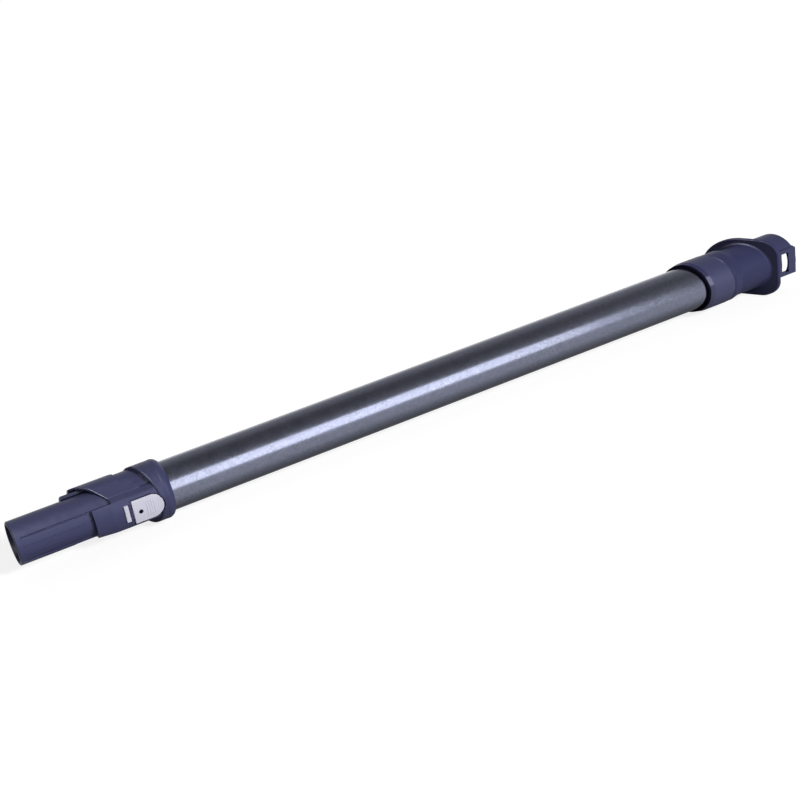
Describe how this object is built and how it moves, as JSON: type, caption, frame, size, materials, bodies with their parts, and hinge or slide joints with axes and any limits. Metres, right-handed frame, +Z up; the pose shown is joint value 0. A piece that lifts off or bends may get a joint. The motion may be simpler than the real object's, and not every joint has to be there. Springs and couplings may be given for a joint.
{
  "type": "vacuum cleaner tube",
  "caption": "Straight wand tube of a stick vacuum cleaner, with a spigot and sprung release rocker at its lower end and a slanted flange and latch window at its upper end.",
  "frame": {"origin": "on the floor below the middle of the wand, lying on one flat side of its flange", "axes": "+X along the tube from the lower spigot to the upper spigot, -Y the way the release button faces, +Z up"},
  "size_m": [0.7286, 0.0612, 0.054],
  "materials": {
    "tube": "dark blue-grey anodised, clear coated",
    "fittings": "satin indigo",
    "rocker": "satin pale lavender grey",
    "seal": "matt black",
    "steel": "plain",
    "contact": "bright",
    "connector": "matt",
    "conduit": "matt",
    "insulation_red": "matt",
    "insulation_black": "matt"
  },
  "bodies": {
    "wand": {"main_tube": "tube", "lower_gasket": "seal", "upper_gasket": "seal", "lower_spigot": "fittings", "lower_shell": "fittings", "lever_pin": "steel", "lever_spring": "steel", "outlet_block": "connector", "outlet_sleeve_upper": "contact", "outlet_sleeve_lower": "contact", "wire_conduit": "conduit", "lead_upper": "insulation_red", "lead_lower": "insulation_black", "upper_collar": "fittings", "collar_seal": "seal", "upper_housing": "fittings", "upper_spigot": "fittings", "inlet_block": "connector", "inlet_pin_upper": "contact", "inlet_pin_lower": "contact", "fixing_screws": "steel"},
    "rocker": {"release_lever": "rocker"}
  },
  "joints": [
    {"name": "button_press", "type": "hinge", "parent": "wand", "child": "rocker", "pos_m": [-0.27935, -0.02318, 0.027], "axis": [0, 0, 1], "range_deg": [0, 3.5], "stiffness_Nm_per_rad": 0.8, "springref_deg": -4.58, "deforming": ["lever_spring"]}
  ]
}
